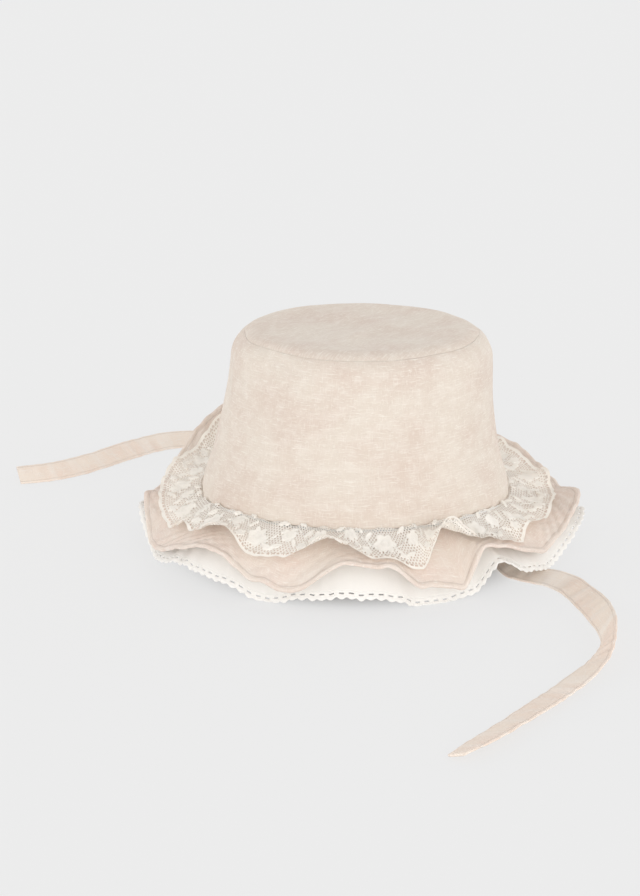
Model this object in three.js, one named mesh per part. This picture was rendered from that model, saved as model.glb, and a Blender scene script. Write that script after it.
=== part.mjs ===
// Baby hat with a ruffled brim, lying on a flat surface as it rests by itself.
// Millimetres. +Z is up, the front of the hat faces -Y, and the wearer's left ear is towards +X.
// The origin is on the surface, under the middle of the hat without its ties.
//
// Azimuth is in degrees: 0 is the front (-Y), 90 is +X, 180 is the back and -90 is -X.

import * as THREE from "three";

// Crown
const CROWN_SEAM_RADIUS = 75.2;
const CROWN_SEAM_HEIGHT = 32;
const SEAM_EFFECT_TOP = 66;
const CROWN_TOP_HEIGHT = 111;
const CROWN_TOP_RADIUS = 62.9;
const CROWN_ROLL_RADIUS = 15;
const CROWN_WALL = 1.4;
const TIP_SAG = 1.6;
const TIP_SEAM_GAP = 0.4;
const TIP_SEAM_ROLL_ANGLE = 55;

// Unevenness of the crown: its top leans towards +X, the roll has a dent at the front left, and
// the side swells and sinks in slow waves. Widths are where a bell has fallen to 1/e.
const LEAN = { shift: 2.2, startHeight: 60, endHeight: 100 };
const DENT = { depth: 2.2, azimuth: -38, width: 16, height: 103, tallness: 7 };
const SWELL = { depth: 0.7, waves: 3, phase: 40, startHeight: 40, endHeight: 70, fullRadius: 50 };

// Cloth of the brim, from the top layer to the bottom one
const LACE_THICKNESS = 1.0;
const LINEN_THICKNESS = 1.2;
const COTTON_THICKNESS = 1.0;
const CLOTH_GAP = 0.4;
const RUFFLE_START_RADIUS = 73.2;
const RUFFLE_START_SLOPE = -0.36;
const LACE_START_DROP = 0.85;
const LINEN_START_DROP = 2.45;
const COTTON_START_DROP = 4.05;

// Ties
const TIE_WIDTH = 13;
const TIE_THICKNESS = 1.4;
const TIE_EDGE_BEVEL = 0.45;

// The folds are measured about the crown's axis, which stands a little off the hat's middle
const CROWN_AXIS_X = -2.8;
const CROWN_AXIS_Y = -1.5;

// Mesh steps
const CROWN_COLUMNS = 48;
const SIDE_RINGS = 7;
const TIP_RINGS = 5;
const TIP_LAST_RING = 0.83;
const RUFFLE_COLUMNS = 120;
const RUFFLE_RINGS = [0, 0.3, 0.6, 0.86, 1];
const TIE_STEPS = 40;
const SLOPE_STEP = 0.5;

const { degToRad: radians, radToDeg: degrees, smoothstep, lerp, clamp } = THREE.MathUtils;

/** Turns rows of numbers into objects with the named columns. */
function table(columnNames, rows) {
  const names = columnNames.split(" ");
  return rows.map((row) => Object.fromEntries(names.map((name, i) => [name, row[i]])));
}

// Height of the brim seam around the hat: it dips a little over the ears.
const SEAM = table("azimuth height", [
  [-150, 35],
  [-80, 30.2],
  [-45, 34],
  [45, 33.8],
  [80, 30.2],
  [150, 34.5],
]);

// A row for each crest and trough of a ruffle's edge: how far out it reaches from the hat's
// axis, and its height above the surface. Heights below the surface are laid flat on it.
const LACE_FOLDS = table("azimuth reach height", [
  [-172, 94, 31],
  [-140, 95, 55],
  [-117, 95, 35],
  [-105, 96, 34],
  [-92, 96.5, 28],
  [-65, 96.5, 21.5],
  [-58, 96, 29.5],
  [-53, 96, 26],
  [-40, 96, 35.5],
  [-30, 96, 23.5],
  [-20.5, 96, 24.5],
  [-7, 96, 37],
  [5, 96, 26.5],
  [18.5, 96.5, 20],
  [25.5, 97.5, 43.5],
  [38, 98, 30],
  [50.5, 98, 18.4],
  [57, 98, 30],
  [68, 98, 26],
  [77, 98, 30],
  [93, 98, 26.5],
  [102, 97.5, 33.5],
  [110, 97, 30],
  [136, 96, 39],
  [152, 95, 28],
  [170, 96, 41],
]);

const LINEN_FOLDS = table("azimuth reach height", [
  [-169, 100, 25],
  [-143, 106, 51],
  [-104, 104, 19.5],
  [-94, 104.5, 24],
  [-77, 101.5, 7.5],
  [-40, 100, 24],
  [-28, 100, 14],
  [-17.5, 100, 10.5],
  [-2, 100, 25.8],
  [8, 100, 24.4],
  [19, 100, 13],
  [30, 99.5, 9.6],
  [36, 101, 28],
  [63, 102, 14.5],
  [89, 110, 29],
  [103, 105.5, 23.5],
  [137, 106, 35],
  [156, 100, 22],
  [176, 103, 37],
]);

const COTTON_FOLDS = table("azimuth reach height", [
  [-163, 93, -9],
  [-142, 101, 22],
  [-119, 97, -9],
  [-93, 107.5, 19],
  [-75, 100.5, 1.5],
  [-56, 97, 8],
  [-40, 96, 6.8],
  [-27, 89.5, -9],
  [-17, 90, 3.2],
  [-4, 90, 5.2],
  [8, 90, 4.6],
  [13, 90, 2.8],
  [20, 89, -9],
  [27, 89.5, -9],
  [33, 93, 3],
  [40.5, 100, 18.5],
  [54, 101, 7.6],
  [66, 102, 3.6],
  [90, 113, 19],
  [112, 98, -9],
  [134, 104, 17],
  [155, 94, -9],
  [176, 100, 14],
]);

// Ties, from the seam to the free end. Lift is the height of the lower edge above the surface,
// and roll tips the ribbon from flat (0) towards standing on its edge (90).
const LEFT_TIE_ROUTE = table("x y lift roll", [
  [-71.4, 3, 21.5, 90],
  [-69.9, 15, 15, 88],
  [-67.5, 29, 7.5, 75],
  [-63, 45, 1.5, 50],
  [-59, 66, 0, 25],
  [-57.5, 90, 0, 12],
  [-59, 113, 0, 14],
  [-64, 135, 0, 22],
  [-73, 153.5, 0, 28],
  [-85, 165, 0, 31],
  [-98, 168, 0, 31],
  [-111, 162.5, 0, 31],
  [-127, 146.5, 0, 31],
  [-148.6, 119.1, 0, 31],
  [-165, 105, 0, 31],
  [-182.5, 98.4, 0, 29],
]);

const RIGHT_TIE_ROUTE = table("x y lift roll", [
  [71.4, 5, 21.5, -90],
  [71, -7, 15.5, -88],
  [70.3, -19, 8.5, -75],
  [71.5, -31, 3, -45],
  [75.5, -41, 0.4, -15],
  [84, -47.5, 0, -3],
  [92, -53, 0, -4],
  [98.5, -60.5, 0, -8],
  [105.1, -79.4, 0, -20],
  [109.7, -105, 0, -45],
  [110.2, -130, 0, -70],
  [103.5, -153, 0, -45],
  [95, -167.5, 0, -22],
  [86, -182, 0, -13],
  [71, -203.5, 0, -13],
  [54.8, -226.5, 0, -18],
  [39, -246.5, 0, -20],
]);

/** Value of a column at an azimuth, eased from each row to the next, closed around the hat. */
function aroundHat(rows, column, azimuth) {
  const turn = ((azimuth - rows[0].azimuth) % 360 + 360) % 360;
  for (let i = 0; i < rows.length; i++) {
    const here = rows[i];
    const next = rows[(i + 1) % rows.length];
    const start = here.azimuth - rows[0].azimuth;
    const end = i + 1 < rows.length ? next.azimuth - rows[0].azimuth : 360;
    if (turn < end) {
      return lerp(here[column], next[column], smoothstep(turn, start, end));
    }
  }
  return rows[0][column];
}

const seamHeight = (azimuth) => aroundHat(SEAM, "height", azimuth);

/** Point at a radius, azimuth and height. */
function polar(radius, azimuth, height) {
  const angle = radians(azimuth);
  return new THREE.Vector3(radius * Math.sin(angle), -radius * Math.cos(angle), height);
}

/** Closed body between an outer and an inner grid of points, each a list of closed rings. */
function wallBetween(outer, inner) {
  const columns = outer[0].length;
  const rings = outer.length;
  const positions = [...outer, ...inner].flat().flatMap((p) => [p.x, p.y, p.z]);
  const at = (side, ring, column) => (side * rings + ring) * columns + (column % columns);
  const indices = [];
  const quad = (a, b, c, d) => indices.push(a, b, c, a, c, d);
  for (let c = 0; c < columns; c++) {
    for (let r = 0; r + 1 < rings; r++) {
      quad(at(0, r, c), at(0, r, c + 1), at(0, r + 1, c + 1), at(0, r + 1, c));
      quad(at(1, r, c + 1), at(1, r, c), at(1, r + 1, c), at(1, r + 1, c + 1));
    }
    quad(at(0, 0, c + 1), at(0, 0, c), at(1, 0, c), at(1, 0, c + 1));
    quad(at(0, rings - 1, c), at(0, rings - 1, c + 1), at(1, rings - 1, c + 1), at(1, rings - 1, c));
  }
  return bodyFrom(positions, indices);
}

function bodyFrom(positions, indices) {
  const geometry = new THREE.BufferGeometry();
  geometry.setAttribute("position", new THREE.Float32BufferAttribute(positions, 3));
  geometry.setIndex(indices);
  geometry.computeVertexNormals();
  return geometry;
}

/** Unit normals of a grid of closed rings, pointing to the left of the ring direction. */
function gridNormals(grid) {
  const columns = grid[0].length;
  return grid.map((ring, r) =>
    ring.map((point, c) => {
      const around = ring[(c + 1) % columns].clone().sub(ring[(c + columns - 1) % columns]);
      const above = grid[Math.min(r + 1, grid.length - 1)][c];
      const below = grid[Math.max(r - 1, 0)][c];
      return around.cross(above.clone().sub(below)).normalize();
    }),
  );
}

/** The grid moved along its normals by a distance. */
function offsetGrid(grid, distance) {
  const normals = gridNormals(grid);
  return grid.map((ring, r) => ring.map((p, c) => p.clone().addScaledVector(normals[r][c], distance)));
}

// Crown: one outline from the seam, up the side, over the rolled edge and in to the middle of
// the tip. The panels are two stretches of it, with the tip seam part of the way up the roll.

const CROWN_SIDE_OUTLINE = new THREE.SplineCurve([
  new THREE.Vector2(CROWN_SEAM_RADIUS, CROWN_SEAM_HEIGHT),
  new THREE.Vector2(73.3, 41),
  new THREE.Vector2(69.3, 53),
  new THREE.Vector2(66, 69),
  new THREE.Vector2(64.2, 82),
  new THREE.Vector2(CROWN_TOP_RADIUS, CROWN_TOP_HEIGHT - CROWN_ROLL_RADIUS),
]);

/** Height of a bell, 1 at its middle. */
const bell = (distance, width) => Math.exp(-((distance / width) ** 2));

/** How far the crown stands out from its outline at an azimuth and height. */
function crownPush(azimuth, height) {
  const dent = bell(azimuth - DENT.azimuth, DENT.width) * bell(height - DENT.height, DENT.tallness);
  const wave = Math.cos(radians(SWELL.waves * azimuth + SWELL.phase));
  return SWELL.depth * wave * smoothstep(height, SWELL.startHeight, SWELL.endHeight) - DENT.depth * dent;
}

function crownPoint(radius, height, azimuth) {
  const towardSeam = 1 - smoothstep(height, CROWN_SEAM_HEIGHT, SEAM_EFFECT_TOP);
  const seamRise = (seamHeight(azimuth) - CROWN_SEAM_HEIGHT) * towardSeam;
  const pushed = radius + crownPush(azimuth, height) * smoothstep(radius, 0, SWELL.fullRadius);
  const point = polar(pushed, azimuth, height + seamRise);
  point.x += LEAN.shift * smoothstep(height, LEAN.startHeight, LEAN.endHeight);
  return point;
}

const azimuths = (columns) => Array.from({ length: columns }, (_, c) => (360 * c) / columns - 180);

/** Row of the crown outline; facing is the angle of its outward side above level. */
const outlineRow = (radius, height, facing) => ({ radius, height, facing });

/** Row on the rolled edge; the angle runs from 0 at the side to 90 on top. */
function rollRow(angle) {
  const radius = CROWN_TOP_RADIUS - CROWN_ROLL_RADIUS * (1 - Math.cos(radians(angle)));
  const height = CROWN_TOP_HEIGHT - CROWN_ROLL_RADIUS * (1 - Math.sin(radians(angle)));
  return outlineRow(radius, height, angle);
}

/** Grid of the crown's surface along outline rows, moved inwards by a depth. */
function crownGrid(outline, depth) {
  return outline.map(({ radius, height, facing }) => {
    const inRadius = radius - depth * Math.cos(radians(facing));
    const inHeight = height - depth * Math.sin(radians(facing));
    return azimuths(CROWN_COLUMNS).map((azimuth) => crownPoint(inRadius, inHeight, azimuth));
  });
}

const tipSeamHalfAngle = degrees(TIP_SEAM_GAP / 2 / (CROWN_ROLL_RADIUS - CROWN_WALL));

function crownSideGeometry() {
  const outline = [];
  for (let r = 0; r < SIDE_RINGS - 1; r++) {
    const along = r / (SIDE_RINGS - 2);
    const point = CROWN_SIDE_OUTLINE.getPoint(along);
    const tangent = CROWN_SIDE_OUTLINE.getTangent(along);
    outline.push(outlineRow(point.x, point.y, degrees(Math.atan2(-tangent.x, tangent.y))));
  }
  const lastAngle = TIP_SEAM_ROLL_ANGLE - tipSeamHalfAngle;
  outline.push(rollRow(lastAngle / 2), rollRow(lastAngle));
  return wallBetween(crownGrid(outline, 0), crownGrid(outline, CROWN_WALL));
}

function crownTipGeometry() {
  const firstAngle = TIP_SEAM_ROLL_ANGLE + tipSeamHalfAngle;
  const flatRadius = CROWN_TOP_RADIUS - CROWN_ROLL_RADIUS;
  const outline = [rollRow(firstAngle), rollRow((firstAngle + 90) / 2), rollRow(90)];
  for (let r = 1; r <= TIP_RINGS - 2; r++) {
    const radius = flatRadius * (1 - (TIP_LAST_RING * r) / (TIP_RINGS - 2));
    const sag = TIP_SAG * (1 - (radius / flatRadius) ** 2);
    outline.push(outlineRow(radius, CROWN_TOP_HEIGHT - sag, 90));
  }
  return domeBetween(crownGrid(outline, 0), crownGrid(outline, CROWN_WALL));
}

/** Closed body of two domes, each a list of rings from the rim inwards, closed by a middle point. */
function domeBetween(outer, inner) {
  const columns = outer[0].length;
  const rings = outer.length;
  const positions = [...outer, ...inner].flat().flatMap((p) => [p.x, p.y, p.z]);
  const at = (side, ring, column) => (side * rings + ring) * columns + (column % columns);
  const indices = [];
  const quad = (a, b, c, d) => indices.push(a, b, c, a, c, d);
  const middles = [outer, inner].map((grid) => {
    const middle = new THREE.Vector3();
    grid[rings - 1].forEach((p) => middle.addScaledVector(p, 1 / columns));
    positions.push(middle.x, middle.y, middle.z);
    return positions.length / 3 - 1;
  });
  for (let c = 0; c < columns; c++) {
    for (let r = 0; r + 1 < rings; r++) {
      quad(at(0, r, c), at(0, r, c + 1), at(0, r + 1, c + 1), at(0, r + 1, c));
      quad(at(1, r, c + 1), at(1, r, c), at(1, r + 1, c), at(1, r + 1, c + 1));
    }
    quad(at(0, 0, c + 1), at(0, 0, c), at(1, 0, c), at(1, 0, c + 1));
    indices.push(at(0, rings - 1, c), at(0, rings - 1, c + 1), middles[0]);
    indices.push(at(1, rings - 1, c + 1), at(1, rings - 1, c), middles[1]);
  }
  return bodyFrom(positions, indices);
}

// Ruffles: each leaves the seam at the same slope and follows a parabola out to its edge, whose
// crests and troughs are in its table. The linen is the middle layer: the lace is kept above it
// and the cotton below it, by a clearance measured square to the linen.

/** Height of a ruffle's middle surface from its own table. */
function tableHeight(folds, startDrop, radius, azimuth) {
  const start = seamHeight(azimuth) - startDrop;
  const length = aroundHat(folds, "reach", azimuth) - RUFFLE_START_RADIUS;
  const fall = aroundHat(folds, "height", azimuth) - start;
  const firstFall = RUFFLE_START_SLOPE * length;
  const part = (radius - RUFFLE_START_RADIUS) / length;
  if (part <= 1) {
    return start + firstFall * part + (fall - firstFall) * part ** 2;
  }
  const edgeSlope = clamp((2 * fall - firstFall) / length, -1, 1);
  return start + fall + edgeSlope * (radius - RUFFLE_START_RADIUS - length);
}

const linenHeight = (radius, azimuth) => tableHeight(LINEN_FOLDS, LINEN_START_DROP, radius, azimuth);

/** How much taller a clearance is when measured upright instead of square to the linen. */
function linenSteepness(radius, azimuth) {
  const turn = degrees(SLOPE_STEP / radius);
  const outward = linenHeight(radius + SLOPE_STEP, azimuth) - linenHeight(radius - SLOPE_STEP, azimuth);
  const around = linenHeight(radius, azimuth + turn) - linenHeight(radius, azimuth - turn);
  return Math.hypot(1, outward / (2 * SLOPE_STEP), around / (2 * SLOPE_STEP));
}

function laceHeight(radius, azimuth) {
  const clearance = (LACE_THICKNESS + LINEN_THICKNESS) / 2 + CLOTH_GAP;
  const lowest = linenHeight(radius, azimuth) + clearance * linenSteepness(radius, azimuth);
  return Math.max(tableHeight(LACE_FOLDS, LACE_START_DROP, radius, azimuth), lowest);
}

function cottonHeight(radius, azimuth) {
  const clearance = (COTTON_THICKNESS + LINEN_THICKNESS) / 2 + CLOTH_GAP;
  const highest = linenHeight(radius, azimuth) - clearance * linenSteepness(radius, azimuth);
  const own = tableHeight(COTTON_FOLDS, COTTON_START_DROP, radius, azimuth);
  return Math.max(Math.min(own, highest), COTTON_THICKNESS / 2);
}

function ruffleGeometry(folds, heightAt, thickness) {
  const middle = [];
  for (const part of RUFFLE_RINGS) {
    middle.push(
      azimuths(RUFFLE_COLUMNS).map((azimuth) => {
        const reach = aroundHat(folds, "reach", azimuth);
        const radius = lerp(RUFFLE_START_RADIUS, reach, part);
        return polar(radius, azimuth, heightAt(radius, azimuth));
      }),
    );
  }
  const under = offsetGrid(middle, thickness / 2);
  const over = offsetGrid(middle, -thickness / 2);
  // Cloth that lies on the surface is flat underneath
  under.forEach((ring, r) =>
    ring.forEach((point, c) => {
      const laid = middle[r][c].z <= thickness / 2;
      point.z = laid ? 0 : Math.max(point.z, 0);
    }),
  );
  return wallBetween(under, over);
}

/** Flat ribbon along a route, closed at both ends, with a bevelled section of eight corners. */
function tieGeometry(route) {
  const halfWidth = TIE_WIDTH / 2;
  const halfThickness = TIE_THICKNESS / 2;
  const flat = halfWidth - TIE_EDGE_BEVEL;
  const section = [
    [halfWidth, 0], [flat, halfThickness], [0, halfThickness], [-flat, halfThickness],
    [-halfWidth, 0], [-flat, -halfThickness], [0, -halfThickness], [flat, -halfThickness],
  ];
  const centres = route.map(({ x, y, lift, roll }) => {
    const tip = Math.abs(radians(roll));
    return new THREE.Vector3(x, y, lift + halfWidth * Math.sin(tip) + halfThickness * Math.cos(tip));
  });
  const curve = new THREE.CatmullRomCurve3(centres, false, "centripetal");
  const positions = [];
  for (let s = 0; s <= TIE_STEPS; s++) {
    const t = s / TIE_STEPS;
    const row = Math.min(Math.floor(t * (route.length - 1)), route.length - 2);
    const roll = lerp(route[row].roll, route[row + 1].roll, t * (route.length - 1) - row);
    const centre = curve.getPoint(t);
    const along = curve.getTangent(t);
    const level = new THREE.Vector3(0, 0, 1).cross(along).normalize();
    const across = level.clone().applyAxisAngle(along, -radians(roll));
    const face = along.clone().cross(across);
    for (const [u, v] of section) {
      const p = centre.clone().addScaledVector(across, u).addScaledVector(face, v);
      positions.push(p.x, p.y, Math.max(p.z, 0));
    }
  }
  const sides = section.length;
  const indices = [];
  for (let s = 0; s < TIE_STEPS; s++) {
    for (let k = 0; k < sides; k++) {
      const [a, b] = [s * sides + k, s * sides + ((k + 1) % sides)];
      indices.push(a, b, b + sides, a, b + sides, a + sides);
    }
  }
  const last = TIE_STEPS * sides;
  for (let k = 1; k + 1 < sides; k++) {
    indices.push(0, k + 1, k, last, last + k, last + k + 1);
  }
  return bodyFrom(positions, indices);
}

const linen = new THREE.MeshStandardMaterial({ color: 0xe3cfc0, roughness: 0.95, metalness: 0 });
const lace = new THREE.MeshStandardMaterial({ color: 0xece8dd, roughness: 0.9, metalness: 0 });
const cotton = new THREE.MeshStandardMaterial({ color: 0xf6f3ec, roughness: 0.95, metalness: 0 });

const hat = new THREE.Group();

function add(name, geometry, material) {
  geometry.translate(CROWN_AXIS_X, CROWN_AXIS_Y, 0);
  const mesh = new THREE.Mesh(geometry, material.clone());
  mesh.name = name;
  hat.add(mesh);
}

add("crown_tip", crownTipGeometry(), linen);
add("crown_side", crownSideGeometry(), linen);
add("lace_ruffle", ruffleGeometry(LACE_FOLDS, laceHeight, LACE_THICKNESS), lace);
add("brim_ruffle", ruffleGeometry(LINEN_FOLDS, linenHeight, LINEN_THICKNESS), linen);
add("picot_ruffle", ruffleGeometry(COTTON_FOLDS, cottonHeight, COTTON_THICKNESS), cotton);
add("tie_left", tieGeometry(LEFT_TIE_ROUTE), linen);
add("tie_right", tieGeometry(RIGHT_TIE_ROUTE), linen);

export default hat;
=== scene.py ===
"""Dresses the solids of a soft baby hat: linen crown, layered ruffled brim and loose chin ties.

Lengths in this script are millimetres until a mesh is made. Azimuth is in degrees: 0 is the
front (-Y), 90 is +X, 180 is the back. Folds are measured about the crown's own upright axis.
"""

import logging
import math
from collections.abc import Callable
from dataclasses import dataclass
from enum import Enum

import bpy
import numpy as np
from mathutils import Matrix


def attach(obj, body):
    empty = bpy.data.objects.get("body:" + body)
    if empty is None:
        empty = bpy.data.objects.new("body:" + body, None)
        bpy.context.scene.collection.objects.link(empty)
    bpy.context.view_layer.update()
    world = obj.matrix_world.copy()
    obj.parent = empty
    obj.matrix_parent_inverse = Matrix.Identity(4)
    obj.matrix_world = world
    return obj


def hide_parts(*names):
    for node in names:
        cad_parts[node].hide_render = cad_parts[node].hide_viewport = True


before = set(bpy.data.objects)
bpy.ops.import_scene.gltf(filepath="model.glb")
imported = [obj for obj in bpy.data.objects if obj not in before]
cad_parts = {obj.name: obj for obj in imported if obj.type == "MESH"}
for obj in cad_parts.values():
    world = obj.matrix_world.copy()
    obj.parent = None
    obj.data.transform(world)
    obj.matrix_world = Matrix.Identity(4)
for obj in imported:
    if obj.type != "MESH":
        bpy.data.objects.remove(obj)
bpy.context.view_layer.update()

LOG = logging.getLogger("baby_hat")
METRES = 0.001
NOISE_DETAIL = 3.0
BODY = "root"
LEAST_THICKNESS = 0.3
CROWN_AXIS = np.array([-2.8, -1.5, 0.0])
Array = np.ndarray
Colour = tuple[float, float, float]
Zone = tuple[float, float]
Heights = Callable[[Array, Array], Array]
Material = bpy.types.Material
Object = bpy.types.Object
Socket = bpy.types.NodeSocket
Feed = Socket | float | tuple[float, ...]


# Finishes


class Weave(Enum):
    """How a cloth's threads show: the value is the strength of its slubs, from 0 to 1."""

    SLUBBED = 1.0
    SMOOTH = 0.2


@dataclass(frozen=True)
class Streaks:
    """A layer of soft streaks: how many per metre along and across, and where they show.

    A streak starts at the noise level low and is full at high. The seed shifts the pattern.
    """

    scale: tuple[float, float]
    low: float
    high: float
    seed: float


CLOUDS = Streaks((32, 44), 0.40, 0.66, 3.1)
LONG_SLUBS = Streaks((140, 1250), 0.55, 0.78, 1.7)
SHORT_SLUBS = Streaks((420, 1600), 0.56, 0.78, 5.3)
CROSS_THREADS = Streaks((1500, 240), 0.54, 0.78, 8.9)
FLECKS = Streaks((500, 1300), 0.60, 0.78, 4.2)


@dataclass(frozen=True)
class ClothFinish:
    """Colour and surface of one cloth.

    The colours are linear. Streak is the colour of the paler slubs of the yarn, and tint that of the
    slow clouds in the dye. See_through is the share of light that a single thin layer lets pass.
    Patches are paler areas: tone that differs at random, and on the tie painted light in narrow bands
    across it, where its cross creases catch the light. Stitch_lines are the places of the sewn lines
    across the cloth, in millimetres. The other values are the strengths of the layers, in colour and in
    relief; a stitched line is darkened with painted shade of its groove.
    """

    name: str
    weave: Weave
    base: Colour
    tint: Colour
    streak: Colour
    bump: float = 0.35
    see_through: float = 0.0
    patches_and_crease_light: Streaks = Streaks((120, 210), 0.45, 0.72, 6.4)
    patch_and_crease_light_strength: float = 0.28
    stitch_lines: tuple[float, ...] = ()
    roughness: float = 0.93
    sheen: float = 0.1
    sheen_roughness: float = 0.5
    gloss: float = 0.15
    dark_share: float = 0.72
    fleck_strength: float = 0.35
    slub_strength: float = 0.8
    cross_strength: float = 0.5
    cross_relief: float = 0.6
    # Strength of the painted shade that darkens each stitched line.
    stitch_shade: float = 0.4
    stitch_depth: float = 2.0
    stitch_reach: float = 0.4
    bump_distance: float = 0.3


CROWN_LINEN = ClothFinish(
    "crown_linen", Weave.SLUBBED, (0.712, 0.628, 0.545), (0.672, 0.562, 0.483), (0.86, 0.81, 0.74)
)
BRIM_LINEN = ClothFinish(
    "brim_linen",
    Weave.SLUBBED,
    (0.765, 0.665, 0.585),
    (0.75, 0.615, 0.535),
    (0.89, 0.835, 0.77),
    stitch_lines=(2.7,),
)
TIE_LINEN = ClothFinish(
    "tie_linen",
    Weave.SLUBBED,
    (0.86, 0.75, 0.65),
    (0.84, 0.69, 0.59),
    (0.90, 0.84, 0.775),
    # Painted light: these patches are stretched into pale bands across the ribbon, about 7 mm apart,
    # standing for the light on its cross creases.
    patches_and_crease_light=Streaks((135, 14), 0.45, 0.72, 6.4),
    patch_and_crease_light_strength=0.65,
    stitch_lines=(-5.3, 5.3),
)
WHITE_COTTON = ClothFinish(
    "white_cotton",
    Weave.SMOOTH,
    (0.88, 0.86, 0.82),
    (0.86, 0.835, 0.795),
    (0.90, 0.885, 0.86),
    bump=0.2,
)
IVORY_LACE = ClothFinish(
    "ivory_lace",
    Weave.SMOOTH,
    (0.945, 0.905, 0.84),
    (0.925, 0.875, 0.80),
    (0.95, 0.925, 0.88),
    see_through=0.08,
)


class NodeBoard:
    """A short way to place and link shader nodes."""

    def __init__(self, owner: Material | bpy.types.World) -> None:
        """Empties the node tree and keeps it.

        Args:
            owner: the material or world to dress.
        """
        owner.use_nodes = True
        self.tree = owner.node_tree
        self.tree.nodes.clear()

    def add(
        self, kind: str, inputs: dict[str | int, Feed] | None = None, **settings: str
    ) -> bpy.types.Node:
        """Adds a node.

        Args:
            kind: Blender's type name of the node, without "ShaderNode".
            inputs: what goes into its sockets, by name or number: a value, or a socket to link.
            settings: the node's own properties.

        Returns:
            The new node.
        """
        node = self.tree.nodes.new("ShaderNode" + kind)
        for key, value in settings.items():
            setattr(node, key, value)
        for key, value in (inputs or {}).items():
            if isinstance(value, Socket):
                self.tree.links.new(value, node.inputs[key])
            else:
                node.inputs[key].default_value = value
        return node

    def math(self, operation: str, *values: Feed) -> Socket:
        """Adds a Math node on the values, and returns its output."""
        return self.add("Math", dict(enumerate(values)), operation=operation).outputs[0]

    def streaks(self, place: Socket, layer: Streaks) -> Socket:
        """Adds long soft streaks: noise on a stretched place, brought out between two levels.

        Args:
            place: the socket of the coordinates, in metres.
            layer: the streaks.

        Returns:
            The socket of the strength, from 0 to 1.
        """
        stretch = {"Location": (layer.seed, layer.seed, 0), "Scale": (*layer.scale, 1)}
        move = self.add("Mapping", {"Vector": place, **stretch})
        noise = self.add("TexNoise", {"Vector": move.outputs[0], "Scale": 1.0, "Detail": NOISE_DETAIL})
        levels = {"From Min": layer.low, "From Max": layer.high}
        return self.add("MapRange", {"Value": noise.outputs[0], **levels}).outputs[0]

    def blend(self, factor: Feed, first: Feed, second: Feed) -> Socket:
        """Mixes two colours by a factor, and returns the result's socket."""
        node = self.add("Mix", {0: factor, 6: first, 7: second}, data_type="RGBA")
        return node.outputs[2]


class ClothShop:
    """Makes each cloth material once."""

    def __init__(self) -> None:
        """Starts with no cloth made."""
        self.made: dict[str, Material] = {}

    def material(self, finish: ClothFinish) -> Material:
        """Gives the material of a finish, made on first use.

        Args:
            finish: of the cloth.

        Returns:
            The material.
        """
        if finish.name not in self.made:
            self.made[finish.name] = self._make(finish)
        return self.made[finish.name]

    def _make(self, finish: ClothFinish) -> Material:
        """Builds a cloth on the piece's own UV map, which is in metres along and across the threads.

        The colour is the base, drifting slowly towards the tint, with paler patches, small darker
        flecks, paler slubs along the yarn and short ones across it. On the tie the paler patches are
        painted light: bands across it where its cross creases catch the light. The relief is that of
        the slubs and the cross threads. A stitched line is darkened with painted shade of its groove,
        and sunk.

        Args:
            finish: of the cloth.

        Returns:
            The new material.
        """
        material = bpy.data.materials.new(finish.name)
        board = NodeBoard(material)
        place = board.add("UVMap", uv_map="cloth").outputs[0]
        show = finish.weave.value
        pale = (*finish.streak, 1)
        dark = (*(finish.dark_share * part for part in finish.tint), 1)
        long_slubs, short_slubs = (board.streaks(place, s) for s in (LONG_SLUBS, SHORT_SLUBS))
        slubs = board.math("MAXIMUM", long_slubs, short_slubs)
        slubs = board.math("MULTIPLY", slubs, finish.slub_strength * show)
        cross = board.streaks(place, CROSS_THREADS)
        clouds = board.streaks(place, CLOUDS)
        colour = board.blend(clouds, (*finish.base, 1), (*finish.tint, 1))
        for layer, strength, shade in (
            # Paler patches: tone at random, and on the tie painted light on its cross creases.
            (board.streaks(place, finish.patches_and_crease_light), finish.patch_and_crease_light_strength * show, pale),
            (board.streaks(place, FLECKS), finish.fleck_strength * show, dark),
            (slubs, 1.0, pale),
            (cross, finish.cross_strength * show, pale),
        ):
            colour = board.blend(board.math("MULTIPLY", layer, strength), colour, shade)
        height = board.math("ADD", slubs, board.math("MULTIPLY", cross, finish.cross_relief))
        for at in finish.stitch_lines:
            line = self._stitch_line(board, at, finish.stitch_reach)
            # Painted shade: the stitched line is darkened towards the dark colour, as its sunk groove
            # would be in shade.
            share = board.math("MULTIPLY", line, finish.stitch_shade)
            colour = board.blend(share, colour, dark)
            dip = board.math("MULTIPLY", line, finish.stitch_depth)
            height = board.math("SUBTRACT", height, dip)
        relief = {"Strength": finish.bump, "Distance": finish.bump_distance * METRES}
        bump = board.add("Bump", {"Height": height, **relief})
        shader = board.add(
            "BsdfPrincipled",
            {
                "Base Color": colour,
                "Roughness": finish.roughness,
                "Sheen Weight": finish.sheen,
                "Sheen Roughness": finish.sheen_roughness,
                "Specular IOR Level": finish.gloss,
                "Normal": bump.outputs[0],
            },
        )
        if finish.see_through:
            through = board.add("BsdfTranslucent", {"Color": colour})
            both = {0: finish.see_through, 1: shader.outputs[0], 2: through.outputs[0]}
            shader = board.add("MixShader", both)
        board.add("OutputMaterial", {"Surface": shader.outputs[0]})
        return material

    @staticmethod
    def _stitch_line(board: NodeBoard, at: float, reach: float) -> Socket:
        """Strength of a sewn line along the cloth, for its painted shade and its dip: 1 on it, falling
        evenly to 0 at its reach.

        Args:
            board: of the material.
            at: the line's place across the cloth.
            reach: distance from the line where it ends.

        Returns:
            The socket of the strength.
        """
        axes = board.add("SeparateXYZ", {0: board.add("UVMap", uv_map="cloth").outputs[0]})
        away = board.math("ABSOLUTE", board.math("SUBTRACT", axes.outputs[1], at * METRES))
        fall = board.math("SUBTRACT", 1.0, board.math("DIVIDE", away, reach * METRES))
        return board.math("MAXIMUM", fall, 0.0)


# Shapes


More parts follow.
